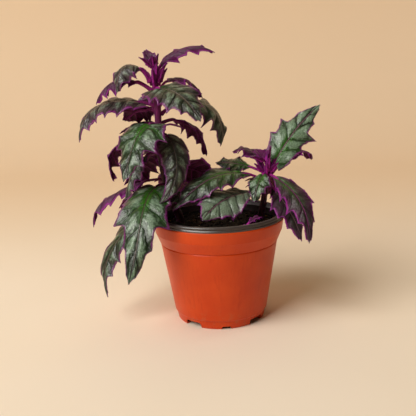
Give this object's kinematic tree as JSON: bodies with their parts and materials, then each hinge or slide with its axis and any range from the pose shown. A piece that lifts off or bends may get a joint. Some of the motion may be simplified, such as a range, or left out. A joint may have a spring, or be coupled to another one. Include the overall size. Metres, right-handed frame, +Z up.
{
  "type": "potted purple passion plant",
  "caption": "Potted plant with toothed, velvety green and purple leaves on upright stems, in a thin tapered round nursery pot; stands on a table, shelf or floor.",
  "frame": {"origin": "centre of the pot's underside, at floor level", "axes": "+Z up along the pot's axis, -Y to the front as pictured, +X to the right"},
  "size_m": [0.2008, 0.1302, 0.2239],
  "materials": {
    "terracotta_plastic": "satin",
    "potting_soil": "matte",
    "stem_skin": "matte",
    "leaf_skin": "matte",
    "young_skin": "matte"
  },
  "bodies": {
    "root": {"pot": "terracotta_plastic", "soil": "potting_soil", "stem_tall": "stem_skin", "stem_short": "stem_skin", "stem_basal": "stem_skin", "leaf_a01": "leaf_skin", "leaf_a02": "leaf_skin", "leaf_a03": "leaf_skin", "leaf_a04": "leaf_skin", "leaf_a05": "leaf_skin", "leaf_a06": "leaf_skin", "leaf_a07": "leaf_skin", "leaf_a08": "leaf_skin", "leaf_a09": "leaf_skin", "leaf_a10": "leaf_skin", "leaf_a11": "leaf_skin", "leaf_a12": "leaf_skin", "leaf_a13": "leaf_skin", "leaf_a14": "leaf_skin", "leaf_a15": "leaf_skin", "leaf_a16": "leaf_skin", "leaf_a17": "leaf_skin", "leaf_a18": "leaf_skin", "leaf_a19": "leaf_skin", "leaf_a20": "leaf_skin", "leaf_a21": "leaf_skin", "leaf_a22": "leaf_skin", "leaf_a23": "leaf_skin", "leaf_a24": "leaf_skin", "leaf_a25": "leaf_skin", "leaf_b01": "leaf_skin", "leaf_b02": "leaf_skin", "leaf_b03": "leaf_skin", "leaf_b04": "leaf_skin", "leaf_b05": "leaf_skin", "leaf_b06": "leaf_skin", "leaf_b07": "leaf_skin", "leaf_b08": "leaf_skin", "leaf_b09": "leaf_skin", "leaf_b10": "leaf_skin", "leaf_b11": "leaf_skin", "leaf_low": "leaf_skin", "tip_tall": "young_skin", "tip_short": "young_skin"}
  },
  "joints": []
}
